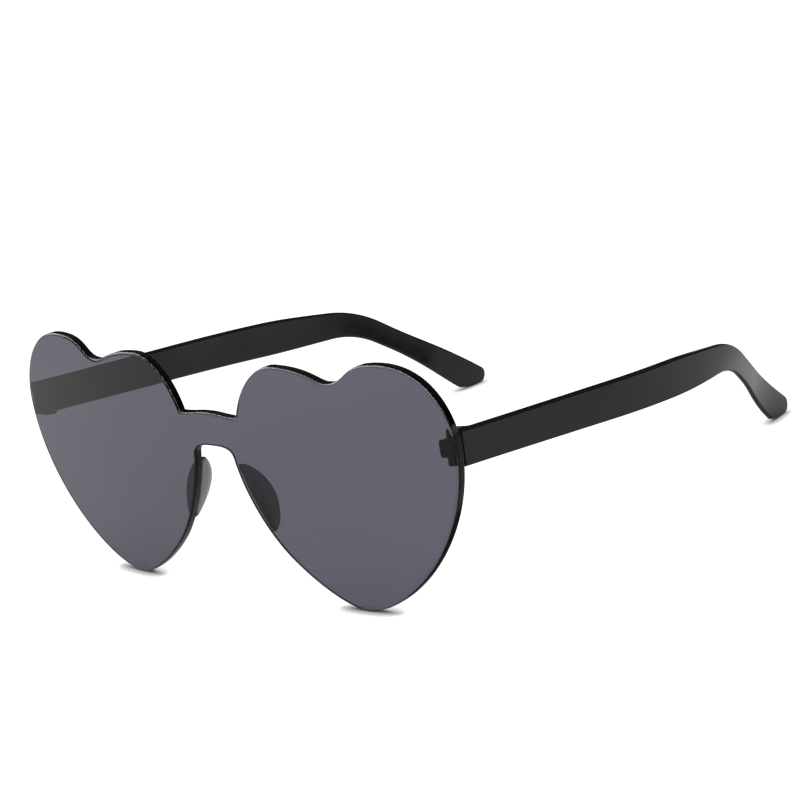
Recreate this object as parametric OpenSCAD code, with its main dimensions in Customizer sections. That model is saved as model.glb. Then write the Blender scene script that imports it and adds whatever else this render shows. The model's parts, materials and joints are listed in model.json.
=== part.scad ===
// Heart shaped sunglasses: one curved, tinted lens sheet with two hearts, two nose pads,
// two hinge blocks on the back of the lens, and two one-piece temples on upright screws.
// The lens is drawn upright with the heart tips at height zero and the temples running to +Y.
// The finished pair then leans until heart tips and temple tips touch one flat surface.

/* [Lens] */
// Overall width of the lens sheet
lens_w = 150; // [142:1:158]
// Height of the lens from the heart tips to the outer lobes
lens_h = 62.2; // [60:0.2:66]
// Thickness of the lens sheet
lens_t = 2.2; // [1.8:0.1:2.6]
// Radius of the ball that the front of the lens follows
lens_curve_r = 440; // [300:10:600]
// Distance of each heart tip from the middle
tip_x = 40; // [38:0.2:43]
// Height at which each heart is widest
widest_z = 42.7; // [40:0.1:46]
// Distance of each outer lobe's top from the middle
outer_lobe_x = 55.7; // [53:0.1:58]
// Distance of each heart's cleft from the middle
cleft_x = 40.4; // [38:0.1:42]
// Height of each heart's cleft
cleft_z = 57.2; // [54:0.2:59]
// Distance of each inner lobe's top from the middle
inner_lobe_x = 24; // [22:0.1:26]
// Height of each inner lobe
inner_lobe_z = 60.4; // [59:0.1:62]

/* [Bridge and nose gap] */
// Height of the bridge's top edge in the middle
bridge_top_z = 47.4; // [45:0.1:49]
// How far the bridge's top edge falls towards its ends
bridge_fall = 0.6; // [0.2:0.1:1.2]
// Width of the notch between the hearts, just above the bridge
notch_w = 19.6; // [17:0.1:22]
// Height of the top of the arch over the nose
arch_top_z = 38.8; // [37:0.1:40.5]
// Width of the arch at its shoulders
arch_w = 13.2; // [11:0.1:15]
// Height of the arch's shoulders
shoulder_z = 36.3; // [34:0.1:37.5]
// Width of the nose gap at its knees
knee_w = 33.8; // [31:0.2:37]
// Height of the knees, where the gap opens out to the heart tips
knee_z = 14.5; // [12:0.5:17]

/* [Nose pads] */
// Length of a pad, measured upright
pad_l = 16.8; // [14:0.2:19]
// Height of a pad's lower end above the heart tips
pad_z = 17.7; // [15.5:0.1:18]
// How far a pad stands back from the lens
pad_depth = 5.5; // [4:0.1:6.5]
// How far a pad's back edge stands further apart than its foot
pad_splay = 1.3; // [0.6:0.1:2]
// Width of the pad's foot on the lens
pad_foot_w = 4.1; // [3.4:0.1:5]
// Thickness of the pad's foot
pad_foot_t = 0.9; // [0.6:0.1:1.2]
// Thickness of the pad's wall beside the nose
pad_wall = 1.3; // [1.1:0.1:1.8]

/* [Hinges] */
// Distance of each hinge screw from the side end of the lens
pin_inset = 3.6; // [2.8:0.1:4.4]
// How far the hinge's middle stands below the height at which the lens is widest
pin_drop = 0.7; // [0:0.1:2.5]
// Distance from the back of the lens to the screw's axis
pin_standoff = 2.7; // [2.5:0.1:3.2]
// Height of the whole hinge
hinge_h = 8.2; // [7.4:0.1:9]
// Height of the middle knuckle, which belongs to the lens
knuckle_h = 4.1; // [3.4:0.1:4.6]
// Radius of the knuckle and of the temple's ears
knuckle_r = 1.9; // [1.7:0.05:2.1]
// Thickness of the foot that is bonded to the lens
foot_t = 1.1; // [0.8:0.1:1.3]
// How far the foot reaches inwards from the screw's axis
foot_reach = 2.1; // [1.9:0.1:4]

/* [Hinge screws] */
// Radius of the screw's shank
screw_r = 0.6; // [0.5:0.05:0.8]
// Radius of the screw's head
head_r = 1.15; // [1:0.05:1.3]
// Height of the screw's head
head_h = 0.6; // [0.4:0.05:0.8]

/* [Temples] */
// Run of a whole temple, from its front end round the bend to its tip
temple_run = 154.75; // [146:0.05:164]
// Radius of the bend over the ear
bend_r = 29; // [24:1:38]
// Angle of the bend over the ear
bend_angle = 31.7; // [27:0.1:37]
// Run of the temple behind the bend
tip_run = 37.4; // [33:0.1:42]
// How far a temple slopes down from square to the lens
droop_angle = 7.5; // [5:0.1:10]
// How far a temple turns in towards the head along its middle
toe_angle = 21.7; // [16:0.1:25]
// How far a temple's paddle turns back out again
back_angle = 18.9; // [14:0.1:22]
// How far a temple's outer face tips upwards behind the bend
twist_angle = 6.3; // [0:0.1:10]
// Height of a temple at its front end
front_h = 8.6; // [8.2:0.1:9]
// Greatest height of a temple, along its middle
middle_h = 9.3; // [8.6:0.1:10]
// Height of a temple at its neck behind the bend
neck_h = 5.95; // [5:0.05:7]
// Height of a temple's paddle end
paddle_h = 8.4; // [7.6:0.1:9.6]
// Thickness of a temple from the hinge to the bend
temple_t = 2.6; // [2.2:0.1:2.8]
// Thickness of a temple's paddle end
paddle_t = 1.5; // [1.4:0.1:2.4]
// Rounding along a temple's long edges
edge_r = 0.6; // [0.4:0.05:0.9]

/* [Clearances] */
// Bond line between the lens and what is bonded to it
bond_gap = 0.05; // [0.02:0.01:0.1]
// Space around a screw in its bores
pin_fit = 0.05; // [0.02:0.01:0.1]
// Space above and below the middle knuckle
knuckle_fit = 0.1; // [0.05:0.01:0.2]
// Space around the knuckle inside the temple's pocket
pocket_fit = 0.3; // [0.25:0.05:0.4]
// Gap between a temple's front end and the lens, at its nearest
front_gap = 0.35; // [0.3:0.05:0.6]

/* [Hidden] */
smoke = [0.34, 0.34, 0.39];
pad_grey = [0.45, 0.45, 0.47];
black = [0.05, 0.05, 0.055];
steel = [0.62, 0.62, 0.64];
ball_faces = 360;
round_faces = 48;
overrun = lens_t / 2;

// Outline of the right half of the lens, from the top of the bridge round to the arch.
// Each stretch leaves its first knot and reaches its second at the angles given, in degrees,
// and the pulls say how firmly it holds them, as shares of the stretch's chord.
heart_knots = [
    [0, bridge_top_z],
    [notch_w / 2, bridge_top_z - bridge_fall],
    [inner_lobe_x, inner_lobe_z],
    [cleft_x, cleft_z],
    [outer_lobe_x, lens_h],
    [lens_w / 2, widest_z],
    [tip_x, 0],
    [knee_w / 2, knee_z],
    [arch_w / 2, shoulder_z],
    [0, arch_top_z]
];
leave_angles = [0, 74, 0, 0, 0, -90, 180, 129.6, 99.4];
reach_angles = [0, 0, 0, 0, -90, 180, 129.6, 99.4, 180];
leave_pull_shares = [0.43, 0.47, 0.64, 0.4, 0.555, 0.424, 0.24, 0.44, 0.38];
reach_pull_shares = [0.45, 0.245, 0.177, 0.668, 0.223, 0.232, 0.28, 0.2, 0.3];
stretch_steps = [5, 10, 8, 10, 14, 16, 9, 12, 8];

function heading(angle) = [cos(angle), sin(angle)];
function bend_point(a, b, c, d, t) =
    pow(1 - t, 3) * a + 3 * t * pow(1 - t, 2) * b + 3 * t * t * (1 - t) * c + pow(t, 3) * d;
function stretch_point(i, t) =
    let (a = heart_knots[i],
         d = heart_knots[i + 1],
         chord = norm(d - a))
    bend_point(a,
               a + chord * leave_pull_shares[i] * heading(leave_angles[i]),
               d - chord * reach_pull_shares[i] * heading(reach_angles[i]),
               d,
               t);

half_outline = [
    for (i = [0 : len(stretch_steps) - 1])
        for (k = [0 : stretch_steps[i] - 1])
            stretch_point(i, k / stretch_steps[i])
];
half_count = len(half_outline);
lens_outline = concat(
    half_outline,
    [heart_knots[len(heart_knots) - 1]],
    [for (i = [half_count - 1 : -1 : 1]) [-half_outline[i].x, half_outline[i].y]]
);

// The two faces of the lens are parts of two balls with one centre
ball_z = lens_h / 2;
lens_back_r = lens_curve_r - lens_t;
function ball_y(r, x, z) = lens_curve_r - sqrt(r * r - x * x - pow(z - ball_z, 2));
function back_y(x, z) = ball_y(lens_back_r, x, z);

// Hinge places, from the lens and the screw
pin_x = lens_w / 2 - pin_inset;
pin_z = widest_z - pin_drop;
pin_y = back_y(pin_x, pin_z) + pin_standoff;
blade_in_x = pin_inset - temple_t;
front_reach = pin_y - back_y(lens_w / 2, pin_z) - front_gap - front_h / 2 * sin(droop_angle);
ear_h = (hinge_h - knuckle_h) / 2 - knuckle_fit;

// A temple's path as seen from the side, in the hinge's own frame: straight, bend, straight
bend_run = bend_r * bend_angle * PI / 180;
straight_run = temple_run - bend_run - tip_run;
function pitch(s) = bend_angle * min(1, max(0, (s - straight_run) / bend_run));
function side_point(s) =
    let (straight = min(s, straight_run),
         turned = pitch(s),
         rest = max(0, s - straight_run - bend_run))
    [straight - front_reach + bend_r * sin(turned) + rest * cos(turned),
     -bend_r * (1 - cos(turned)) - rest * sin(turned)];

// The turn inwards, as seen from above, is one arc, and the turn back out is a second one
toe_start_share = 0.343;
toe_end_share = 0.838;
back_start_share = 0.848;
toe_start = temple_run * toe_start_share;
toe_run = temple_run * (toe_end_share - toe_start_share);
toe_r = toe_run / (toe_angle * PI / 180);
back_run = temple_run * (1 - back_start_share);
back_r = back_run / (back_angle * PI / 180);
function toe_yaw(s) = toe_angle * min(1, max(0, (s - toe_start) / toe_run));
function back_yaw(s) = back_angle * max(0, (s - temple_run + back_run) / back_run);
function yaw(s) = toe_yaw(s) - back_yaw(s);
function inward(s) =
    toe_r * (1 - cos(toe_yaw(s)))
    + max(0, s - toe_start - toe_run) * sin(toe_yaw(s))
    - back_r * (1 - cos(back_yaw(s)));

// Smooth changes along a temple between its front end, middle, neck and paddle
middle_share = 0.509;
neck_share = 0.795;
paddle_share = 0.964;
neck_above_share = 0.46;
paddle_above_share = 0.36;
thin_start_share = 0.452;
thin_end_share = 0.753;
function ease(a, b, t) = a + (b - a) * t * t * (3 - 2 * t);
function part_way(p, a, b) = min(1, max(0, (p - a) / (b - a)));
function along(s, front, middle, neck, paddle) =
    let (p = s / temple_run)
    p < middle_share ? ease(front, middle, part_way(p, 0, middle_share)) :
    p < neck_share ? ease(middle, neck, part_way(p, middle_share, neck_share)) :
    ease(neck, paddle, part_way(p, neck_share, paddle_share));
function blade_h(s) = along(s, front_h, middle_h, neck_h, paddle_h);
function above_share(s) = along(s, 1 / 2, 1 / 2, neck_above_share, paddle_above_share);
function blade_t(s) = ease(temple_t, paddle_t, part_way(s / temple_run, thin_start_share, thin_end_share));

// The paddle's end is rounded a little above and cut back over a long, flatter sweep below.
// A power of 2 is a quarter of an ellipse, and a power of 1 would be a straight cut.
top_end_share = 0.27;
low_end_share = 0.9;
round_power = 2;
sweep_power = 1.3;
end_run = paddle_h * low_end_share;
end_steps = 12;
blade_steps = 44;
function end_scale(s, run, power) =
    pow(1 - pow(part_way(s, temple_run - run, temple_run), power), 1 / power);
blade_runs = concat(
    [for (k = [0 : blade_steps]) (temple_run - end_run) * k / blade_steps],
    [for (k = [1 : end_steps - 1]) temple_run - end_run * (1 + cos(180 * k / end_steps)) / 2]
);

// One rounded section of a blade, as offsets [outwards, upwards] from its middle
corner_steps = 3;
corner_share = 0.45;
function section(t, h, r) = [
    for (q = [0 : 3])
        for (k = [0 : corner_steps])
            let (turn = 90 * q + 90 * k / corner_steps,
                 across = (q == 0 || q == 3) ? t / 2 - r : r - t / 2,
                 along = (q < 2) ? h / 2 - r : r - h / 2)
            [across + r * cos(turn), along + r * sin(turn)]
];
function blade_ring(s) =
    let (top = blade_h(s) * above_share(s) * end_scale(s, paddle_h * top_end_share, round_power),
         low = blade_h(s) * (1 - above_share(s)) * end_scale(s, end_run, sweep_power),
         h = top + low,
         t = blade_t(s) * (1 + end_scale(s, end_run, round_power)) / 2,
         r = min(edge_r, corner_share * min(h, t)),
         p = side_point(s),
         a = pitch(s),
         w = yaw(s),
         tilt = twist_angle * a / bend_angle,
         flat_out = [cos(w), sin(w) * cos(a), -sin(w) * sin(a)],
         flat_up = [0, sin(a), cos(a)],
         out = cos(tilt) * flat_out + sin(tilt) * flat_up,
         up = cos(tilt) * flat_up - sin(tilt) * flat_out,
         middle = [pin_inset - inward(s), p[0], p[1]] - out * blade_t(s) / 2 + up * (top - low) / 2)
    [for (q = section(t, h, r)) middle + q[0] * out - q[1] * up];
blade_points = [for (s = blade_runs) each blade_ring(s)];

// Side faces between rings of equal size, and the two end faces
function skin_faces(rings, n) = concat(
    [[for (k = [0 : n - 1]) k]],
    [[for (k = [n - 1 : -1 : 0]) (rings - 1) * n + k]],
    [for (i = [0 : rings - 2]) for (k = [0 : n - 1]) [i * n + k, (i + 1) * n + k, i * n + (k + 1) % n]],
    [for (i = [0 : rings - 2]) for (k = [0 : n - 1])
        [i * n + (k + 1) % n, (i + 1) * n + k, (i + 1) * n + (k + 1) % n]]
);

// The lean that brings the temple tips down to the surface under the heart tips
function from_hinge(p) = [
    p.x + pin_x,
    p.y * cos(droop_angle) + p.z * sin(droop_angle) + pin_y,
    p.z * cos(droop_angle) - p.y * sin(droop_angle) + pin_z
];
blade_in_lens = [for (p = blade_points) from_hinge(p)];
tip_front_y = ball_y(lens_curve_r, tip_x, 0);
lean = max([for (p = blade_in_lens) atan2(-p.z, p.y - tip_front_y)]);
lift = -tip_front_y * sin(lean);
front_y = lens_curve_r * cos(lean) - lens_curve_r - ball_z * sin(lean);
rear_y = max([for (p = blade_in_lens) p.y * cos(lean) - p.z * sin(lean)]);
middle_y = (front_y + rear_y) / 2;

module stand() translate([0, -middle_y, lift]) rotate([lean, 0, 0]) children();
module at_hinge() translate([pin_x, pin_y, pin_z]) rotate([-droop_angle, 0, 0]) children();
module ball(r) translate([0, lens_curve_r, ball_z]) sphere(r = r, $fn = ball_faces);
module flip(left) mirror([left ? 0 : 1, 0, 0]) children();

module lens() color(smoke) stand() intersection() {
    difference() {
        ball(lens_curve_r);
        ball(lens_back_r);
    }
    translate([0, lens_curve_r / 2, 0]) rotate([90, 0, 0])
        linear_extrude(lens_curve_r / 2 + overrun) polygon(lens_outline);
}

// A nose pad is an L section swept down the edge of the nose gap, full in its middle and
// drawn in at both ends. Its foot lies on the lens, and its wall stands back and splays.
pad_stretch_index = 7;
pad_steps = 17;
halving_steps = 24;
edge_step_share = 0.01;
pad_round = pad_foot_t / 2;
pad_end_share = 0.12;
pad_swell_share = 0.7;
pad_low_share = 0.95;
pad_bulge_share = 0.25;
pad_web_share = 0.6;
function edge_t(z, low, high, n) =
    n == 0 ? (low + high) / 2 :
    stretch_point(pad_stretch_index, (low + high) / 2).y < z ?
        edge_t(z, (low + high) / 2, high, n - 1) :
        edge_t(z, low, (low + high) / 2, n - 1);
function pad_fullness(u) =
    pad_end_share + (1 - pad_end_share) * pow(sin(180 * pow(u, pad_low_share)), pad_swell_share);
function pad_section(f) =
    let (w = pad_foot_w * f,
         d = pad_depth * f,
         out = pad_splay * f,
         r = pad_round * f,
         thick = min(pad_wall * (1 + f) / 2, pad_web_share * w),
         low = min(pad_foot_t * (1 + f) / 2, d / 2))
    [[0, 0],
     [w, 0],
     [w, low - r],
     [w - r, low],
     [thick + r, low],
     [thick, low + r],
     [out + thick - r / 2, d - r],
     [out + thick / 2, d],
     [out, d - r],
     [out / 2 - pad_bulge_share * thick, d / 2]];
pad_corner_count = len(pad_section(1));
function pad_ring(i) =
    let (u = i / pad_steps,
         z = pad_z + pad_l * u,
         t = edge_t(z, 0, 1, halving_steps),
         e = stretch_point(pad_stretch_index, t),
         g = stretch_point(pad_stretch_index, t + edge_step_share)
             - stretch_point(pad_stretch_index, t - edge_step_share),
         n = [g.y, -g.x] / norm(g))
    [for (q = pad_section(pad_fullness(u)))
        let (x = e.x + q[0] * n.x,
             h = e.y + q[0] * n.y)
        [x, back_y(x, h) + bond_gap + q[1], h]];
pad_points = [for (i = [0 : pad_steps]) each pad_ring(i)];

module nose_pad(left) color(pad_grey) stand() flip(left)
    polyhedron(pad_points, skin_faces(pad_steps + 1, pad_corner_count), convexity = 4);

// The hinge block is one moulding: a foot bonded to the lens and the hinge's middle knuckle.
// Its foot is flat, and stands on the lens where the knuckle is nearest to it.
foot_w = knuckle_r + foot_reach;
foot_h = knuckle_h - 3 * knuckle_fit;
foot_x = pin_x + knuckle_r - foot_w / 2;
foot_z = pin_z + pin_standoff * tan(droop_angle);
foot_yaw = asin(foot_x / lens_back_r);
foot_tilt = asin((foot_z - ball_z) / lens_back_r);
foot_corner_r = foot_t / 2;
module at_foot() translate([foot_x, back_y(foot_x, foot_z), foot_z])
    rotate([-foot_tilt, 0, foot_yaw]) children();
module rounded_rect(low, high, r) {
    translate([low.x + r, low.y]) square([high.x - low.x - 2 * r, high.y - low.y]);
    translate([low.x, low.y + r]) square([high.x - low.x, high.y - low.y - 2 * r]);
    for (x = [low.x + r, high.x - r])
        for (y = [low.y + r, high.y - r])
            translate([x, y]) circle(r = r, $fn = round_faces);
}

module hinge_block(left) color(black) stand() flip(left) difference() {
    union() {
        at_foot() translate([0, bond_gap + foot_t, 0]) rotate([90, 0, 0])
            linear_extrude(foot_t)
                rounded_rect([-foot_w / 2, -foot_h / 2], [foot_w / 2, foot_h / 2], foot_corner_r);
        difference() {
            at_hinge() union() {
                cylinder(r = knuckle_r, h = knuckle_h, center = true, $fn = round_faces);
                translate([-knuckle_r, -2 * pin_standoff, -knuckle_h / 2])
                    cube([2 * knuckle_r, 2 * pin_standoff, knuckle_h]);
            }
            at_foot() translate([-2 * foot_w, bond_gap - 4 * pin_standoff, -foot_w])
                cube([4 * foot_w, 4 * pin_standoff, 2 * foot_w]);
        }
    }
    at_hinge() cylinder(r = screw_r + pin_fit, h = hinge_h, center = true, $fn = round_faces);
}

// A temple is a swept blade with two ears that close over the knuckle
ear_back_share = 1.7;
ear_back_angle = 45;
ear_root = edge_r;
module ear() linear_extrude(ear_h) union() {
    circle(r = knuckle_r, $fn = round_faces);
    polygon([
        [-knuckle_r * cos(ear_back_angle), knuckle_r * sin(ear_back_angle)],
        [blade_in_x, knuckle_r * ear_back_share],
        [blade_in_x + ear_root, knuckle_r * ear_back_share],
        [blade_in_x + ear_root, -front_reach],
        [0, -front_reach],
        [0, 0]
    ]);
}
module pocket() {
    r = knuckle_r + pocket_fit;
    linear_extrude(knuckle_h + 2 * knuckle_fit, center = true) union() {
        circle(r = r, $fn = round_faces);
        translate([-r, -front_reach - overrun]) square([2 * r, front_reach + overrun]);
    }
}
module temple(left) color(black) stand() flip(left) at_hinge() difference() {
    union() {
        polyhedron(blade_points, skin_faces(len(blade_runs), len(blade_ring(0))), convexity = 6);
        translate([0, 0, hinge_h / 2 - ear_h]) ear();
        translate([0, 0, -hinge_h / 2]) ear();
    }
    pocket();
    cylinder(r = screw_r + pin_fit, h = hinge_h + overrun, center = true, $fn = round_faces);
    translate([0, 0, hinge_h / 2 - head_h])
        cylinder(r = head_r + pin_fit, h = head_h + overrun, $fn = round_faces);
}

// A slotted hinge screw, sunk flush in the upper ear and ending flush with the lower one
slot_w = head_r / 4;
slot_d = head_h / 2;
module hinge_screw(left) color(steel) stand() flip(left) at_hinge() difference() {
    union() {
        cylinder(r = screw_r, h = hinge_h, center = true, $fn = round_faces);
        translate([0, 0, hinge_h / 2 - head_h]) cylinder(r = head_r, h = head_h, $fn = round_faces);
    }
    translate([-head_r - overrun, -slot_w / 2, hinge_h / 2 - slot_d])
        cube([2 * (head_r + overrun), slot_w, slot_d + overrun]);
}

lens();
nose_pad(true);  // nose_pad_left
nose_pad(false);  // nose_pad_right
hinge_block(true);  // hinge_block_left
hinge_block(false);  // hinge_block_right
temple(true);  // temple_left
temple(false);  // temple_right
hinge_screw(true);  // hinge_screw_left
hinge_screw(false);  // hinge_screw_right
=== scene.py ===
import json
from math import asin, cos, pi, radians, sin, sqrt

import bmesh
import bpy
from mathutils import Matrix, Vector
from mathutils.geometry import delaunay_2d_cdt


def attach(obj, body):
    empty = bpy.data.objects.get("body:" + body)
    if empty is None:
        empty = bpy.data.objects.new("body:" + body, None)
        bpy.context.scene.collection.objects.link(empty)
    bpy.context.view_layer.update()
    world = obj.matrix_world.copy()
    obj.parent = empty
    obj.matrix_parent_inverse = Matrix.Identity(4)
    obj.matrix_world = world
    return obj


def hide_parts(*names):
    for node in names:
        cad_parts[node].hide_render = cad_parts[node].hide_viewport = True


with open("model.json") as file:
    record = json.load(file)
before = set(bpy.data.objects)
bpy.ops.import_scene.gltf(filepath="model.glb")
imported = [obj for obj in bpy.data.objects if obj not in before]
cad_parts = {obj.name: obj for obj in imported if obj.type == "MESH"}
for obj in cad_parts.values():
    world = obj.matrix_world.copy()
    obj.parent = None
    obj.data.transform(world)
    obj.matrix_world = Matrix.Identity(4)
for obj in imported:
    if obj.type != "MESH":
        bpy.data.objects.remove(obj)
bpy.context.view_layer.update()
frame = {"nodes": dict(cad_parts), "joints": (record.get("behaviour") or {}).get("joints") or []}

MM = 0.001
nodes = frame["nodes"]
collection = bpy.context.scene.collection

# Sizes of the glasses in millimetres, as in the CAD source
LENS_W, LENS_H, LENS_T, LENS_R = 150.0, 62.2, 2.2, 440.0
PIN_X, PIN_Z, PIN_STANDOFF = 71.4, 42.0, 2.7
DROOP = radians(7.5)
HINGE_H, KNUCKLE_H, KNUCKLE_R = 8.2, 4.1, 1.9
KNUCKLE_FIT, POCKET_FIT, FRONT_GAP = 0.1, 0.3, 0.35
SCREW_R, HEAD_R, HEAD_H, PIN_FIT = 0.6, 1.15, 0.6, 0.05
BALL_Z = LENS_H / 2
BACK_R = LENS_R - LENS_T

# The lean and place at which the CAD part stands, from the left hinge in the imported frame
left_joint = next(j for j in frame["joints"] if j["name"] == "fold_left")
LEAN = DROOP - asin(left_joint["axis"][1])
PIN_Y = LENS_R - sqrt(BACK_R ** 2 - PIN_X ** 2 - (PIN_Z - BALL_Z) ** 2) + PIN_STANDOFF
STAND = Matrix.Rotation(LEAN, 4, "X")
TURN = STAND.to_3x3()
SHIFT = Vector(left_joint["pos_m"]) - STAND @ Vector((PIN_X, PIN_Y, PIN_Z)) * MM


def stand(p):
    """A point of the upright lens's own frame, in millimetres, to the row frame in metres."""
    return STAND @ Vector(p) * MM + SHIFT


def from_hinge(p):
    """A point of the left hinge's frame to the upright lens's frame, in millimetres."""
    return Matrix.Rotation(-DROOP, 3, "X") @ Vector(p) + Vector((PIN_X, PIN_Y, PIN_Z))


def ball_y(r, x, z):
    """Depth of the ball of radius r that shapes a face of the lens."""
    return LENS_R - sqrt(r * r - x * x - (z - BALL_Z) ** 2)


def ease(a, b, t):
    """From a to b with a soft start and end, as t goes from 0 to 1."""
    t = min(1.0, max(0.0, t))
    return a + (b - a) * t * t * (3 - 2 * t)


# Node trees

NOISE_ROUGHNESS = 0.55
NOISE_SPAN = (0.3, 0.7)
WHOLE = (0.0, 1.0)


def grey(value):
    return (value, value, value)


class Tree:
    """An empty node tree, with short ways to add nodes and link them."""

    def __init__(self, owner):
        owner.use_nodes = True
        self.nodes, self.links = owner.node_tree.nodes, owner.node_tree.links
        self.nodes.clear()

    def feed(self, socket, value):
        """Links a socket to another one, or sets it to a value."""
        if isinstance(value, bpy.types.NodeSocket):
            self.links.new(value, socket)
        else:
            socket.default_value = value

    def add(self, kind, *values, **named):
        """A node. Its settings are given by name, and its inputs by name or in order."""
        node = self.nodes.new("ShaderNode" + kind)
        for key, value in named.items():
            if key in node.inputs:
                self.feed(node.inputs[key], value)
            else:
                setattr(node, key, value)
        for socket, value in zip(node.inputs, values):
            self.feed(socket, value)
        return node

    def math(self, operation, *values):
        return self.add("Math", *values, operation=operation).outputs["Value"]

    def vector_math(self, operation, *values):
        """The result of a vector operation that gives one number."""
        return self.add("VectorMath", *values, operation=operation).outputs["Value"]

    def ranged(self, source, span, result, **settings):
        """A value moved from one span to another and held within it."""
        ends = {"From Min": span[0], "From Max": span[1], "To Min": result[0], "To Max": result[1]}
        return self.add("MapRange", Value=source, **settings, **ends).outputs["Result"]

    def noise(self, scale, detail, stretch=(1, 1, 1)):
        """Noise over the object's own coordinates, which are metres."""
        place = self.add("TexCoord").outputs["Object"]
        stretched = self.add("Mapping", Vector=place, Scale=stretch).outputs["Vector"]
        sizes = {"Scale": scale, "Detail": detail, "Roughness": NOISE_ROUGHNESS}
        return self.add("TexNoise", Vector=stretched, **sizes).outputs["Fac"]

    def bump(self, height, strength, distance):
        return self.add("Bump", Height=height, Strength=strength, Distance=distance).outputs["Normal"]

    def colour(self, factor, dark, light):
        """A colour between a dark and a light one."""
        node = self.add("Mix", data_type="RGBA", A=(*dark, 1), B=(*light, 1), Factor=factor)
        return node.outputs["Result"]


# Materials

def lens_material(name):
    """Smoke tinted polycarbonate: part of the tint in the surface and part inside."""
    material = bpy.data.materials.new(name)
    tree = Tree(material)
    wave = tree.noise(scale=45, detail=2)
    surface = tree.add("BsdfPrincipled", **{
        "IOR": 1.58, "Transmission Weight": 1.0, "Roughness": 0.0, "Specular Tint": (*grey(0.5), 1),
        "Base Color": tree.colour(wave, dark=(0.303, 0.300, 0.386), light=(0.319, 0.316, 0.404)),
        "Normal": tree.bump(wave, strength=0.05, distance=0.0002)})
    inside = tree.add("VolumeAbsorption", Color=(*grey(0), 1), Density=500.0)
    tree.add("OutputMaterial", Surface=surface.outputs["BSDF"], Volume=inside.outputs["Volume"])
    return material


def plastic_material(name, dark, light, rough, specular):
    """Injection moulded black plastic with a soft gloss and a very fine moulded skin."""
    rough_spread = 0.15
    material = bpy.data.materials.new(name)
    tree = Tree(material)
    cloud = tree.noise(scale=160, detail=4)
    flow = tree.noise(scale=500, detail=3, stretch=(1, 0.08, 1))
    skin = tree.noise(scale=6000, detail=2)
    rough_ends = (rough * (1 - rough_spread), rough * (1 + rough_spread))
    surface = tree.add("BsdfPrincipled", **{
        "IOR": 1.5, "Specular IOR Level": specular,
        "Base Color": tree.colour(tree.ranged(cloud, NOISE_SPAN, WHOLE), dark, light),
        "Roughness": tree.ranged(flow, NOISE_SPAN, rough_ends),
        "Normal": tree.bump(skin, strength=0.06, distance=0.00002)})
    tree.add("OutputMaterial", Surface=surface.outputs["BSDF"])
    return material


def pad_material(name):
    """Soft, cloudy grey plastic that lets some light through, with a painted sheen that makes it paler at
    grazing angles.
    """
    cloud_share, facing_span, painted_sheen_ends = 0.25, (0.45, 0.95), (-0.1, 0.7)
    material = bpy.data.materials.new(name)
    tree = Tree(material)
    cloud = tree.noise(scale=350, detail=3)
    skin = tree.noise(scale=4000, detail=2)
    facing = tree.add("LayerWeight", Blend=0.35).outputs["Facing"]
    # The cloud's random tone, plus a painted sheen that pales the colour towards grazing angles
    cloud_and_painted_sheen = tree.math("MULTIPLY_ADD", cloud, cloud_share, tree.ranged(facing, facing_span, painted_sheen_ends))
    surface = tree.add("BsdfPrincipled", **{
        "IOR": 1.49, "Transmission Weight": 0.92,
        "Base Color": tree.colour(cloud_and_painted_sheen, dark=(0.115, 0.11, 0.125), light=(0.55, 0.54, 0.56)),
        "Roughness": tree.ranged(cloud, NOISE_SPAN, result=(0.12, 0.2)),
        "Normal": tree.bump(skin, strength=0.08, distance=0.00003)})
    tree.add("OutputMaterial", Surface=surface.outputs["BSDF"])
    return material


def steel_material(name):
    """Turned steel with fine rings round the screw's axis."""
    material = bpy.data.materials.new(name)
    tree = Tree(material)
    spots = tree.noise(scale=1500, detail=3)
    rings = tree.noise(scale=2500, detail=2, stretch=(0.1, 0.1, 3))
    surface = tree.add("BsdfPrincipled", **{
        "Metallic": 1.0,
        "Base Color": tree.colour(spots, dark=(0.46, 0.46, 0.47), light=(0.62, 0.61, 0.60)),
        "Roughness": tree.ranged(spots, NOISE_SPAN, result=(0.22, 0.36)),
        "Normal": tree.bump(rings, strength=0.15, distance=0.00002)})
    tree.add("OutputMaterial", Surface=surface.outputs["BSDF"])
    return material


# Meshes

def new_object(bm, name):
    """An object in the scene that takes over the mesh being built."""
    mesh = bpy.data.meshes.new(name)
    bm.to_mesh(mesh)
    bm.free()
    piece = bpy.data.objects.new(name, mesh)
    collection.objects.link(piece)
    return piece


def shade_smooth(piece):
    for face in piece.data.polygons:
        face.use_smooth = True


def swept(rings, place, name):
    """A closed skin through rings of equal size, each point set down by place."""
    bm = bmesh.new()
    made = [[bm.verts.new(place(p)) for p in ring] for ring in rings]
    n = len(made[0])
    for a, b in zip(made, made[1:]):
        for i in range(n):
            bm.faces.new((a[i], a[(i + 1) % n], b[(i + 1) % n], b[i]))
    bm.faces.new(list(reversed(made[0])))
    bm.faces.new(made[-1])
    bmesh.ops.recalc_face_normals(bm, faces=bm.faces)
    return new_object(bm, name)


def extruded(outline, low, high, place, name):
    """A flat outline drawn up between two heights."""
    return swept([[(x, y, z) for x, y in outline] for z in (low, high)], place, name)


def arc(r, start, end, step):
    """Points of a circle about the hinge's axis, between two angles in degrees."""
    return [(r * cos(radians(a)), r * sin(radians(a))) for a in range(start, end, step)]


def bake_modifiers(piece):
    depsgraph = bpy.context.evaluated_depsgraph_get()
    mesh = bpy.data.meshes.new_from_object(piece.evaluated_get(depsgraph))
    piece.modifiers.clear()
    piece.data = mesh


# Lens. Half its outline runs through these knots, (x, z). Each stretch leaves one knot and reaches the
# next at angles in degrees, with pulls that are shares of the distance between the two

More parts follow.
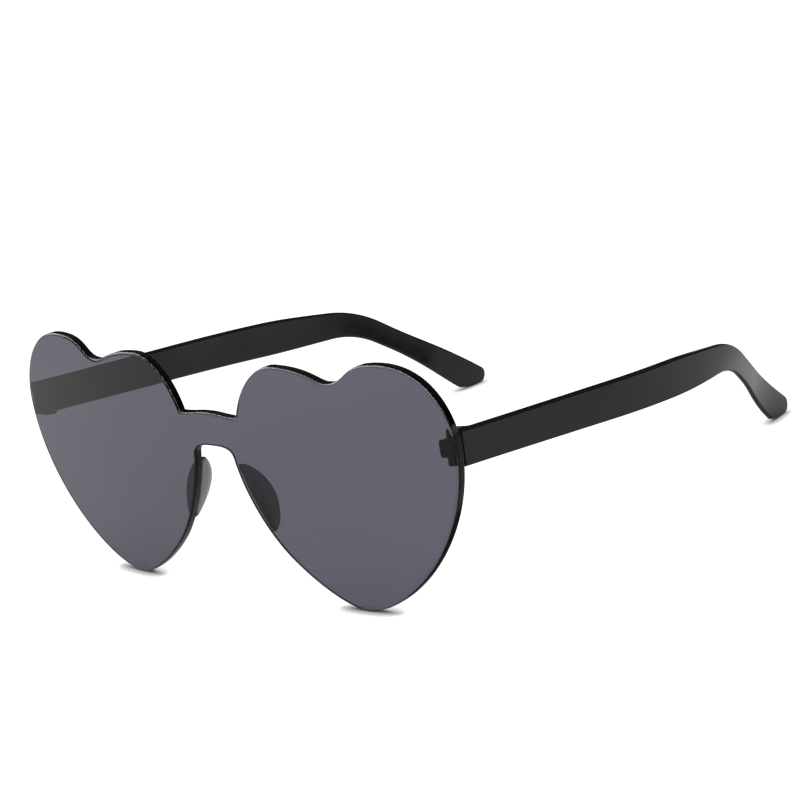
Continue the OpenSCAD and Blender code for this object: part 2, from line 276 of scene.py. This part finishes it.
HEART_KNOTS = [
    (0.0, 47.4), (9.8, 46.8), (24.0, 60.4), (40.4, 57.2), (55.7, LENS_H), (LENS_W / 2, 42.7),
    (40.0, 0.0), (16.9, 14.5), (6.6, 36.3), (0.0, 38.8)]
LEAVE = [0, 74, 0, 0, 0, -90, 180, 129.6, 99.4]
REACH = [0, 0, 0, 0, -90, 180, 129.6, 99.4, 180]
LEAVE_PULL = [0.43, 0.47, 0.64, 0.4, 0.555, 0.424, 0.24, 0.44, 0.38]
REACH_PULL = [0.45, 0.245, 0.177, 0.668, 0.223, 0.232, 0.28, 0.2, 0.3]
OUTLINE_STEP, LENGTH_PARTS, LEAST_PARTS = 0.55, 20, 4
ROUND_FRONT, ROUND_BACK, ROUND_STEPS = 0.75, 0.25, 7
CORNER_LIMIT = 0.5
GRID_PITCH, GRID_CLEAR = 2.4, 0.45
KEEP_INSIDE, MERGE = 1, 1e-6
SMOKE_SLOT, RIM_SLOT = 0, 1


def stretch_point(i, t):
    """The point at share t of the outline's stretch i, a cubic curve."""
    a, d = Vector(HEART_KNOTS[i]), Vector(HEART_KNOTS[i + 1])
    chord = (d - a).length
    b = a + chord * LEAVE_PULL[i] * Vector((cos(radians(LEAVE[i])), sin(radians(LEAVE[i]))))
    c = d - chord * REACH_PULL[i] * Vector((cos(radians(REACH[i])), sin(radians(REACH[i]))))
    return (1 - t) ** 3 * a + 3 * t * (1 - t) ** 2 * b + 3 * t * t * (1 - t) * c + t ** 3 * d


def stretch_points(i, parts):
    return [stretch_point(i, k / parts) for k in range(parts + 1)]


def lens_outline():
    """Points round the whole lens, about one step apart, as (x, z)."""
    half = []
    for i in range(len(LEAVE)):
        rough = stretch_points(i, LENGTH_PARTS)
        length = sum((b - a).length for a, b in zip(rough, rough[1:]))
        half += stretch_points(i, max(LEAST_PARTS, round(length / OUTLINE_STEP)))[:-1]
    half.append(Vector(HEART_KNOTS[-1]))
    return half + [Vector((-p.x, p.y)) for p in reversed(half[1:-1])]


def inward_normals(points):
    """Directions into the lens at each outline point, along the bisector and longer at a corner."""
    normals = []
    for i, p in enumerate(points):
        a = (p - points[i - 1]).normalized()
        b = (points[(i + 1) % len(points)] - p).normalized()
        across_a, across_b = Vector((a.y, -a.x)), Vector((b.y, -b.x))
        middle = (across_a + across_b).normalized()
        normals.append(middle / max(CORNER_LIMIT, middle.dot(across_a)))
    return normals


def inside_points(outline):
    """Points of a square grid that lie inside an outline and clear of it."""
    segments = list(zip(outline, outline[1:] + outline[:1]))
    columns = int(LENS_W / 2 / GRID_PITCH) + 1
    xs = [(k + 0.5) * GRID_PITCH for k in range(-columns, columns)]
    zs = [k * GRID_PITCH for k in range(1, int(LENS_H / GRID_PITCH) + 1)]

    def is_clear(p):
        crossings, nearest = 0, float("inf")
        for a, b in segments:
            if (a.y > p.y) != (b.y > p.y) and p.x < (b.x - a.x) * (p.y - a.y) / (b.y - a.y) + a.x:
                crossings += 1
            run = b - a
            t = max(0.0, min(1.0, (p - a).dot(run) / run.length_squared))
            nearest = min(nearest, (p - a - run * t).length_squared)
        return crossings % 2 == 1 and nearest > (GRID_PITCH * GRID_CLEAR) ** 2

    return [Vector((x, z)) for z in zs for x in xs if is_clear(Vector((x, z)))]


def out_of_ball(x, z, r):
    """The direction square to the ball of radius r at a point of it."""
    return Vector((x, ball_y(r, x, z) - LENS_R, z - BALL_Z)).normalized()


def make_lens(name):
    """Two curved faces on a fine mesh, joined by a wall whose edges are rounded."""
    edge = lens_outline()
    into = inward_normals(edge)
    n = len(edge)
    inner = [p + q * ROUND_FRONT for p, q in zip(edge, into)]
    loop = [(i, (i + 1) % n) for i in range(n)]
    points, _, faces, sources, _, _ = delaunay_2d_cdt(
        inner + inside_points(inner), loop, [list(range(n))], KEEP_INSIDE, MERGE)
    made_from = {old: new for new, olds in enumerate(sources) for old in olds}
    bm = bmesh.new()
    normals = []

    def vert(x, y, z, normal):
        normals.append(TURN @ normal.normalized())
        return bm.verts.new(stand((x, y, z)))

    def rounding(size, r, outward, a):
        """A ring of an edge's rounding, at angle a from the face, which is 0, to the wall."""
        ring = []
        for p, q in zip(edge, into):
            e = p + q * (size * (1 - sin(a)))
            y = ball_y(r, e.x, e.y) + outward * size * (1 - cos(a))
            face = out_of_ball(e.x, e.y, LENS_R) * outward
            wall = -Vector((q.x, 0, q.y)).normalized()
            ring.append(vert(e.x, y, e.y, face * cos(a) + wall * sin(a)))
        return ring

    front = [vert(p.x, ball_y(LENS_R, p.x, p.y), p.y, out_of_ball(p.x, p.y, LENS_R)) for p in points]
    back = [vert(p.x, ball_y(BACK_R, p.x, p.y), p.y, -out_of_ball(p.x, p.y, BACK_R)) for p in points]
    for face in faces:
        bm.faces.new([front[k] for k in face])
        bm.faces.new([back[k] for k in reversed(face)])
    angles = [k / ROUND_STEPS * pi / 2 for k in range(1, ROUND_STEPS + 1)]
    rings = [[front[made_from[i]] for i in range(n)]]
    rings += [rounding(ROUND_FRONT, LENS_R, 1, a) for a in angles]
    rings += [rounding(ROUND_BACK, BACK_R, -1, a) for a in reversed(angles)]
    rings.append([back[made_from[i]] for i in range(n)])
    for k, (a, b) in enumerate(zip(rings, rings[1:])):
        for i in range(n):
            j = (i + 1) % n
            strip = bm.faces.new((a[i], a[j], b[j], b[i]))
            # The front rounding takes the rim slot, which is painted dark; the wall and the back stay
            # smoke
            strip.material_index = RIM_SLOT if k < ROUND_STEPS else SMOKE_SLOT
    bmesh.ops.recalc_face_normals(bm, faces=bm.faces)
    lens = new_object(bm, name)
    shade_smooth(lens)
    lens.data.normals_split_custom_set_from_vertices(normals)
    return lens


# Temples. A run is a length along one, from its front end

FULL, BEND_R, BEND, TIP_RUN = 154.75, 29.0, radians(31.7), 37.4
TOE_IN, TURN_BACK, TWIST = radians(21.7), radians(18.9), radians(6.3)
FRONT_H, MIDDLE_H, NECK_H, PADDLE_H = 8.6, 9.3, 5.95, 8.4
FRONT_TOP, MIDDLE_TOP, NECK_TOP, PADDLE_TOP = 0.5, 0.5, 0.46, 0.36
TEMPLE_T, PADDLE_T, THIN_START, THIN_RUN = 2.6, 1.5, 0.452, 0.301
EDGE_R, EDGE_LIMIT = 0.6, 0.45
BEND_RUN = BEND_R * BEND
STRAIGHT = FULL - BEND_RUN - TIP_RUN
TOE_FROM, TOE_TO, BACK_FROM = 0.343, 0.838, 0.848
TOE_START, TOE_RUN = TOE_FROM * FULL, (TOE_TO - TOE_FROM) * FULL
BACK_RUN = (1 - BACK_FROM) * FULL
TOE_R, BACK_TURN_R = TOE_RUN / TOE_IN, BACK_RUN / TURN_BACK
OUT_X = LENS_W / 2 - PIN_X
IN_X = OUT_X - TEMPLE_T
REACH_Y = PIN_Y - ball_y(BACK_R, LENS_W / 2, PIN_Z) - FRONT_GAP - FRONT_H / 2 * sin(DROOP)
MIDDLE_AT, NECK_AT, PADDLE_AT = 0.509, 0.795, 0.964
END_TOP, END_LOW, ROUND_POWER, SWEEP_POWER = 0.27 * PADDLE_H, 0.9 * PADDLE_H, 2.0, 1.3
MITRE_RUN, MITRE_LOW, MITRE_RISE = 4.0, 0.15, 0.08
BODY_RINGS, END_RINGS, CORNER_STEPS = 150, 30, 6
EAR_ARC, POCKET_ARC = (135, 271, 6), (0, 181, 5)
ROOT_Y, EAR_TURN_X = 1.7 * KNUCKLE_R, 0.35 * KNUCKLE_R
POCKET_REACH, OVERRUN = 4.0, 6.0
SHARP_ANGLE, NORMAL_WEIGHT = radians(32), 90


def along(s, front, middle, neck, paddle):
    """A size at run s that eases between its values at four places of a temple."""
    p = s / FULL
    if p < MIDDLE_AT:
        return ease(front, middle, p / MIDDLE_AT)
    if p < NECK_AT:
        return ease(middle, neck, (p - MIDDLE_AT) / (NECK_AT - MIDDLE_AT))
    return ease(neck, paddle, (p - NECK_AT) / (PADDLE_AT - NECK_AT))


def blade_frame(s):
    """The outer side's middle point at run s, with the outward and upward directions there."""
    turned = BEND * min(1, max(0, (s - STRAIGHT) / BEND_RUN))
    rest = max(0, s - STRAIGHT - BEND_RUN)
    y = min(s, STRAIGHT) - REACH_Y + BEND_R * sin(turned) + rest * cos(turned)
    z = -BEND_R * (1 - cos(turned)) - rest * sin(turned)
    toe = TOE_IN * min(1, max(0, (s - TOE_START) / TOE_RUN))
    back = TURN_BACK * max(0, (s - FULL + BACK_RUN) / BACK_RUN)
    past_toe = max(0, s - TOE_START - TOE_RUN) * sin(toe)
    inward = TOE_R * (1 - cos(toe)) + past_toe - BACK_TURN_R * (1 - cos(back))
    yaw, tilt = toe - back, TWIST * turned / BEND
    flat_out = Vector((cos(yaw), sin(yaw) * cos(turned), -sin(yaw) * sin(turned)))
    flat_up = Vector((0, sin(turned), cos(turned)))
    out = cos(tilt) * flat_out + sin(tilt) * flat_up
    up = cos(tilt) * flat_up - sin(tilt) * flat_out
    return Vector((OUT_X - inward, y, z)), out, up


def end_scale(s, run, power=ROUND_POWER):
    """From 1 to 0 over the last run of a temple, as a round end does."""
    return max(0.0, 1 - min(1, max(0, (s - FULL + run) / run)) ** power) ** (1 / power)


def blade_ring(s):
    """A temple's section at run s, a rectangle with round corners."""
    share = along(s, FRONT_TOP, MIDDLE_TOP, NECK_TOP, PADDLE_TOP)
    high = along(s, FRONT_H, MIDDLE_H, NECK_H, PADDLE_H)
    top = high * share * end_scale(s, END_TOP)
    low = high * (1 - share) * end_scale(s, END_LOW, SWEEP_POWER)
    thick = ease(TEMPLE_T, PADDLE_T, (s / FULL - THIN_START) / THIN_RUN)
    h, t = top + low, thick * (1 + end_scale(s, END_LOW)) / 2
    r = min(EDGE_R, EDGE_LIMIT * min(h, t))
    at, out, up = blade_frame(s)
    middle = at - out * thick / 2 + up * (top - low) / 2
    mitre = max(0, 1 - s / MITRE_RUN)
    ring = []
    for corner in range(4):
        for k in range(CORNER_STEPS + 1):
            a = pi / 2 * (corner + k / CORNER_STEPS)
            across = (t / 2 - r if corner in (0, 3) else r - t / 2) + r * cos(a)
            rise = (h / 2 - r if corner < 2 else r - h / 2) + r * sin(a)
            point = middle + across * out + rise * up
            point.y -= mitre * (MITRE_LOW + MITRE_RISE * (point.z + FRONT_H / 2))
            ring.append(point)
    return ring


def ear_outline():
    """Seen from above: round over the knuckle, with a root that runs into the blade."""
    root = IN_X + EDGE_R
    turn = (EAR_TURN_X, -min(KNUCKLE_R, REACH_Y))
    return arc(KNUCKLE_R, *EAR_ARC) + [turn, (root, -REACH_Y), (root, ROOT_Y), (IN_X, ROOT_Y)]


def pocket_outline():
    """Seen from above: round behind the knuckle, and open to the front."""
    r = KNUCKLE_R + POCKET_FIT
    return arc(r, *POCKET_ARC) + [(-r, -POCKET_REACH), (r, -POCKET_REACH)]


def circle(r, parts=48):
    return [(r * cos(2 * pi * k / parts), r * sin(2 * pi * k / parts)) for k in range(parts)]


def make_temple(side, name):
    """A blade with two hinge ears, bored for its screw. side is 1 for the wearer's left."""
    def place(p):
        q = from_hinge(p)
        return stand((side * q.x, q.y, q.z))

    body = FULL - END_LOW
    runs = [body * k / BODY_RINGS for k in range(BODY_RINGS)]
    runs += [FULL - END_LOW * (1 + cos(pi * k / END_RINGS)) / 2 for k in range(END_RINGS)]
    temple = swept([blade_ring(s) for s in runs], place, name)
    half = KNUCKLE_H / 2 + KNUCKLE_FIT
    ear_h = (HINGE_H - KNUCKLE_H) / 2 - KNUCKLE_FIT
    steps = [("UNION", ear_outline(), low, low + ear_h) for low in (HINGE_H / 2 - ear_h, -HINGE_H / 2)]
    steps += [("DIFFERENCE", pocket_outline(), -half, half),
              ("DIFFERENCE", circle(SCREW_R + PIN_FIT), -OVERRUN, OVERRUN),
              ("DIFFERENCE", circle(HEAD_R + PIN_FIT), HINGE_H / 2 - HEAD_H, OVERRUN)]
    tools = []
    for operation, outline, low, high in steps:
        tools.append(extruded(outline, low, high, place, name + "_tool"))
        change = temple.modifiers.new(operation.lower(), "BOOLEAN")
        change.operation, change.solver, change.object = operation, "EXACT", tools[-1]
    bake_modifiers(temple)
    for tool in tools:
        bpy.data.objects.remove(tool)
    shade_smooth(temple)
    temple.data.set_sharp_from_angle(angle=SHARP_ANGLE)
    even = temple.modifiers.new("even_normals", "WEIGHTED_NORMAL")
    even.keep_sharp, even.weight = True, NORMAL_WEIGHT
    return temple


# Nose pads, each along the outline's stretch beside the nose

PAD_STRETCH = 7
PAD_L, PAD_Z, PAD_DEPTH, PAD_SPLAY = 16.8, 17.7, 5.5, 1.3
PAD_FOOT_W, PAD_FOOT_T, PAD_WALL, BOND, CORNER = 4.1, 0.9, 1.3, 0.05, 0.2
WALL_LIMIT, HOLLOW = 0.6, 0.25
PAD_RINGS, PAD_END, PAD_LEAN, PAD_ROUND = 28, 0.12, 0.95, 0.7
HALVINGS, NUDGE = 30, 0.01
PAD_SHARP, PAD_LEVELS = radians(80), 2


def share_at_height(z):
    """The share of the pad's stretch at which the outline is z high, by halving."""
    low, high = 0.0, 1.0
    for _ in range(HALVINGS):
        t = (low + high) / 2
        low, high = (t, high) if stretch_point(PAD_STRETCH, t).y < z else (low, t)
    return (low + high) / 2


def pad_section(f):
    """A foot on the lens and a splayed wall, at share f of their full size, as (across, deep)."""
    w, d, out = PAD_FOOT_W * f, PAD_DEPTH * f, PAD_SPLAY * f
    r = PAD_FOOT_T / 2 * f
    thick = min(PAD_WALL * (1 + f) / 2, WALL_LIMIT * w)
    low = min(PAD_FOOT_T * (1 + f) / 2, d / 2)
    c = CORNER * f
    foot = [(0, c), (c / 3, 0), (w - c, 0), (w, c), (w, low - r), (w - r, low), (thick + r, low)]
    wall = [(thick, low + r), (out + thick - r / 2, d - r), (out + thick / 2, d), (out, d - r)]
    return foot + wall + [(out / 2 - HOLLOW * thick, d / 2)]


def make_pad(side, name):
    """A pad that tapers to both ends. side is 1 for the wearer's left."""
    rings = []
    for i in range(PAD_RINGS):
        u = i / (PAD_RINGS - 1)
        t = share_at_height(PAD_Z + PAD_L * u)
        edge = stretch_point(PAD_STRETCH, t)
        run = stretch_point(PAD_STRETCH, t + NUDGE) - stretch_point(PAD_STRETCH, t - NUDGE)
        into = Vector((run.y, -run.x)).normalized()
        f = PAD_END + (1 - PAD_END) * max(0.0, sin(pi * u ** PAD_LEAN)) ** PAD_ROUND
        ring = []
        for across, deep in pad_section(f):
            x, z = edge.x + across * into.x, edge.y + across * into.y
            ring.append((side * x, ball_y(BACK_R, x, z) + BOND + deep, z))
        rings.append(ring)
    pad = swept(rings, stand, name)
    shade_smooth(pad)
    pad.data.set_sharp_from_angle(angle=PAD_SHARP)
    soft = pad.modifiers.new("soft", "SUBSURF")
    soft.levels = soft.render_levels = PAD_LEVELS
    bake_modifiers(pad)
    shade_smooth(pad)
    return pad


# Pieces and their materials

BLOCK_BEVEL, SCREW_BEVEL = 0.12, 0.05
BEVEL_STEPS, BEVEL_ANGLE = 2, radians(40)


def dress(piece, *materials):
    piece.data.materials.clear()
    for material in materials:
        piece.data.materials.append(material)


deep_black, warm_black = grey(0.003), (0.005, 0.005, 0.0045)
temple_black = plastic_material("temple_black", deep_black, warm_black, rough=0.15, specular=0.5)
# The lens's front rounding: opaque near-black plastic with a higher gloss, painted shade that stands in
# for the dark look of the tinted clear edge
painted_dark_rim = plastic_material("painted_dark_rim", deep_black, warm_black, rough=0.1, specular=0.7)
block_black = plastic_material("block_black", grey(0.004), (0.006, 0.006, 0.0055), rough=0.2, specular=0.5)
smoke = lens_material("smoke_lens")
pad_grey, steel = pad_material("pad_grey"), steel_material("screw_steel")

lens = make_lens("heart_lens")
dress(lens, smoke, painted_dark_rim)
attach(lens, "front")
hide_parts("lens")

for side, word in ((1, "left"), (-1, "right")):
    temple = make_temple(side, "temple_arm_" + word)
    dress(temple, temple_black)
    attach(temple, "temple_" + word)
    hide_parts("temple_" + word)
    pad = make_pad(side, "soft_nose_pad_" + word)
    dress(pad, pad_grey)
    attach(pad, "front")
    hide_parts("nose_pad_" + word)
    for node, material, width in (("hinge_block_" + word, block_black, BLOCK_BEVEL),
                                  ("hinge_screw_" + word, steel, SCREW_BEVEL)):
        piece = nodes[node]
        dress(piece, material)
        bevel = piece.modifiers.new("rounded_edges", "BEVEL")
        bevel.width, bevel.segments = width * MM, BEVEL_STEPS
        bevel.limit_method, bevel.angle_limit = "ANGLE", BEVEL_ANGLE

# Floor. It is white to the camera and through the lens, less so in a painted shadow where something stands
# close, and mirrors see it darker, as in a dark studio, with painted light and a painted shadow of their
# own.
# Places and distances are metres

FLOOR_REACH = 6.0
FLOOR_GREYS = (0.8, 0.82)
EYE_GLOW = 0.8
# The painted shadow where something stands close: the reach, rays and power of its ambient occlusion
CONTACT_REACH, CONTACT_RAYS, CONTACT_POWER = 0.0028, 16, 2.5
# Painted light for reflections: where the glow towards the wearer's right and round the left temple's tip
# starts, and how strong it grows
RIGHT_SPAN, RIGHT_GLOW = (0.05, -0.25), (0.05, 0.35)
TIP_PLACE, TIP_SPAN, TIP_GLOW = (0.062, 0.106, 0), (0.012, 0.035), (0.38, 0.05)
# Painted shadow for reflections: a strip under the left temple, its edges across, out and back, and its
# grey
STRIP_IN, STRIP_OUT, STRIP_BACK = (0.045, 0.055), (0.09, 0.08), (0.07, 0.055)
REFLECTED_SHADOW_GREY = 0.06


def floor_material(name):
    """A matt white with three zones of its own for what reflections see of it: two of painted light and a
    strip of painted shadow.
    """
    material = bpy.data.materials.new(name)
    tree = Tree(material)
    path = tree.add("LightPath").outputs
    place = tree.add("TexCoord").outputs["Object"]
    split = tree.add("SeparateXYZ", place).outputs

    # The glow that lifts it to white for the eye, dimmed by ambient occlusion where something stands
    # close: a painted shadow
    to_eye = tree.math("MAXIMUM", path["Is Camera Ray"], path["Is Transmission Ray"])
    occlusion = tree.add("AmbientOcclusion", Distance=CONTACT_REACH, samples=CONTACT_RAYS)
    painted_close_shadow = tree.math("POWER", occlusion.outputs["AO"], CONTACT_POWER)
    eye_glow = tree.math("MULTIPLY", tree.math("MULTIPLY", to_eye, EYE_GLOW), painted_close_shadow)

    # Painted light that only reflections see: a glow which rises towards the wearer's right and round the
    # left temple's tip
    from_tip = tree.vector_math("DISTANCE", place, TIP_PLACE)
    painted_mirror_glow = tree.math("MAXIMUM", tree.ranged(split["X"], RIGHT_SPAN, RIGHT_GLOW),
                            tree.ranged(from_tip, TIP_SPAN, TIP_GLOW))
    painted_mirror_glow = tree.math("MULTIPLY", path["Is Glossy Ray"], painted_mirror_glow)
    glow = tree.add("Emission", Strength=tree.math("MAXIMUM", painted_mirror_glow, eye_glow))

    # A painted shadow that only reflections see: a strip under the left temple, dark for them
    strip = tree.math("MULTIPLY", tree.ranged(split["X"], STRIP_IN, WHOLE),
                      tree.ranged(split["X"], STRIP_OUT, WHOLE))
    strip = tree.math("MULTIPLY", strip, tree.ranged(split["Y"], STRIP_BACK, WHOLE))
    white = tree.colour(tree.noise(scale=60, detail=2), *map(grey, FLOOR_GREYS))
    colour = tree.add("Mix", data_type="RGBA", A=white, B=(*grey(REFLECTED_SHADOW_GREY), 1),
                      Factor=tree.math("MULTIPLY", path["Is Glossy Ray"], strip))
    matt = tree.add("BsdfDiffuse", Color=colour.outputs["Result"])
    whole = tree.add("AddShader", matt.outputs["BSDF"], glow.outputs["Emission"])
    tree.add("OutputMaterial", Surface=whole.outputs["Shader"])
    return material


bm = bmesh.new()
bmesh.ops.create_grid(bm, x_segments=1, y_segments=1, size=FLOOR_REACH)
floor = new_object(bm, "floor")
dress(floor, floor_material("white_floor"))

# World: white to the camera, soft light for matt surfaces, and for reflections a dark studio with a band
# of light across it, which fades towards the floor, and a low light on the wearer's left

EYE_LIGHT, SOFT_LIGHT = 1.0, 0.3
BAND_ACROSS, BAND_SPAN, BAND_LIGHT = (0.26, 0.76, 0.59), (0.14, 0.34), (6.5, 0.13)
BAND_HEIGHT = (0.06, 0.6)
SIDE_ACROSS, SIDE_SPAN, SIDE_LIGHT = (-0.12, 0, 1), (0.0, 0.06), (1.2, 0.0)
SMOOTH = {"interpolation_type": "SMOOTHSTEP"}


def studio_world(name):
    """The world shader that the values above describe."""
    world = bpy.data.worlds.new(name)
    tree = Tree(world)
    path = tree.add("LightPath").outputs
    towards = tree.add("TexCoord").outputs["Generated"]
    height = tree.add("SeparateXYZ", towards).outputs["Z"]
    off_band = tree.math("ABSOLUTE", tree.vector_math("DOT_PRODUCT", towards, BAND_ACROSS))
    band = tree.math("MULTIPLY", tree.ranged(off_band, BAND_SPAN, BAND_LIGHT, **SMOOTH),
                     tree.ranged(height, BAND_HEIGHT, WHOLE, **SMOOTH))
    off_side = tree.vector_math("DOT_PRODUCT", towards, SIDE_ACROSS)
    side_light = tree.ranged(off_side, SIDE_SPAN, SIDE_LIGHT, **SMOOTH)
    mirrored = tree.add("Background", Strength=tree.math("MAXIMUM", band, side_light))
    soft, white = (tree.add("Background", Color=(*grey(1), 1), Strength=strength).outputs["Background"]
                   for strength in (SOFT_LIGHT, EYE_LIGHT))
    unseen = tree.add("MixShader", path["Is Glossy Ray"], soft, mirrored.outputs["Background"])
    whole = tree.add("MixShader", path["Is Camera Ray"], unseen.outputs["Shader"], white)
    tree.add("OutputWorld", Surface=whole.outputs["Shader"])
    return world


bpy.context.scene.world = studio_world("studio")

# Lamp: a round softbox overhead

LAMP_WIDTH, LAMP_POWER, LAMP_HEIGHT = 1.6, 6.0, 1.2

lamp_data = bpy.data.lights.new("overhead_softbox", "AREA")
lamp_data.shape, lamp_data.size, lamp_data.energy = "DISK", LAMP_WIDTH, LAMP_POWER
lamp = bpy.data.objects.new("overhead_softbox", lamp_data)
lamp.location = (0, 0, LAMP_HEIGHT)
lamp.visible_glossy = False
collection.objects.link(lamp)

# Camera, from the fit to the photograph's outlines. It is placed in the upright lens's own frame

CAMERA_AT = stand((506.655, -430.055, 243.807))
AZIMUTH, ELEVATION, ROLL = radians(45.64735), radians(16.9534), radians(-10.37481)
FOCAL_PX, PHOTO_PX, SENSOR_MM = 2877.907, 801, 36.0
CLIP_NEAR, CLIP_FAR = 0.01, 50

ahead = Vector((-sin(AZIMUTH) * cos(ELEVATION), cos(AZIMUTH) * cos(ELEVATION), -sin(ELEVATION)))
level = Vector((cos(AZIMUTH), sin(AZIMUTH), 0))
down = ahead.cross(level)
image_right = TURN @ (cos(ROLL) * level - sin(ROLL) * down)
image_down = TURN @ (sin(ROLL) * level + cos(ROLL) * down)
camera_turn = Matrix((image_right, -image_down, -(TURN @ ahead))).transposed()

camera_data = bpy.data.cameras.new("camera")
camera_data.sensor_width = SENSOR_MM
camera_data.lens = SENSOR_MM * (FOCAL_PX / PHOTO_PX)
camera_data.clip_start, camera_data.clip_end = CLIP_NEAR, CLIP_FAR
camera = bpy.data.objects.new("camera", camera_data)
collection.objects.link(camera)
camera.matrix_world = Matrix.Translation(CAMERA_AT) @ camera_turn.to_4x4()
bpy.context.scene.camera = camera
bpy.context.scene.view_settings.view_transform = "Standard"

bpy.context.view_layer.update()
